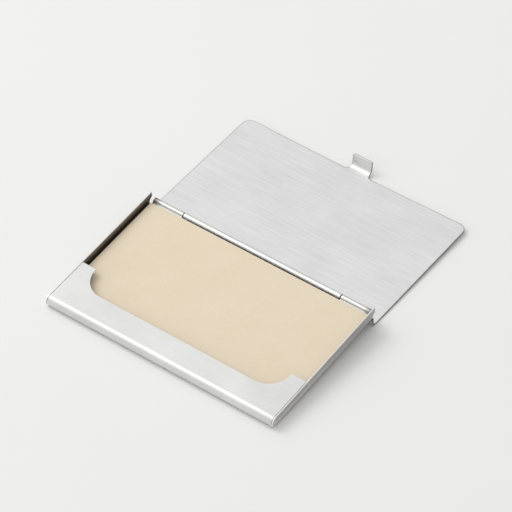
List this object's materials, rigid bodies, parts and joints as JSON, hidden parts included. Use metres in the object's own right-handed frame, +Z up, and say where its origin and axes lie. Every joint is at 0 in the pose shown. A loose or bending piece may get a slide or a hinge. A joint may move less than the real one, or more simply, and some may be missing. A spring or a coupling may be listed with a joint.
{
  "type": "business card case",
  "caption": "Slim folded-metal card case, open: shallow tray with a rolled front and cut-out lip, pin-hinged flat lid with a latch tab, and a thin stack of blank cards.",
  "frame": {"origin": "on the table, under the middle of the open case", "axes": "+X along the hinge, to the right of a user who has the tray in front; +Y from the tray to the open lid; +Z up from the table"},
  "size_m": [0.094, 0.1192, 0.0087],
  "materials": {
    "satin_aluminium": "satin, fine grain along the hinge",
    "brushed_aluminium": "brushed, clear grain along the hinge",
    "pin_steel": "drawn wire",
    "card_stock": "uncoated, cream"
  },
  "bodies": {
    "tray": {"tray": "satin_aluminium", "hinge_pin": "pin_steel"},
    "lid": {"lid": "brushed_aluminium"},
    "cards": {"card_1": "card_stock", "card_2": "card_stock", "card_3": "card_stock", "card_4": "card_stock"},
    "top_card": {"card_5": "card_stock"}
  },
  "joints": [
    {"name": "lid_hinge", "type": "hinge", "parent": "tray", "child": "lid", "pos_m": [0, -0.00041, 0.00466], "axis": [1, 0, 0], "range_deg": [0, 183.4]},
    {"name": "card_stack_slide", "type": "slide", "parent": "tray", "child": "cards", "axis": [0, 0.9969, 0.0781], "range_m": [0, 0.0009]},
    {"name": "top_card_slide", "type": "slide", "parent": "tray", "child": "top_card", "axis": [0, 0.9969, 0.0781], "range_m": [0, 0.0032]}
  ]
}
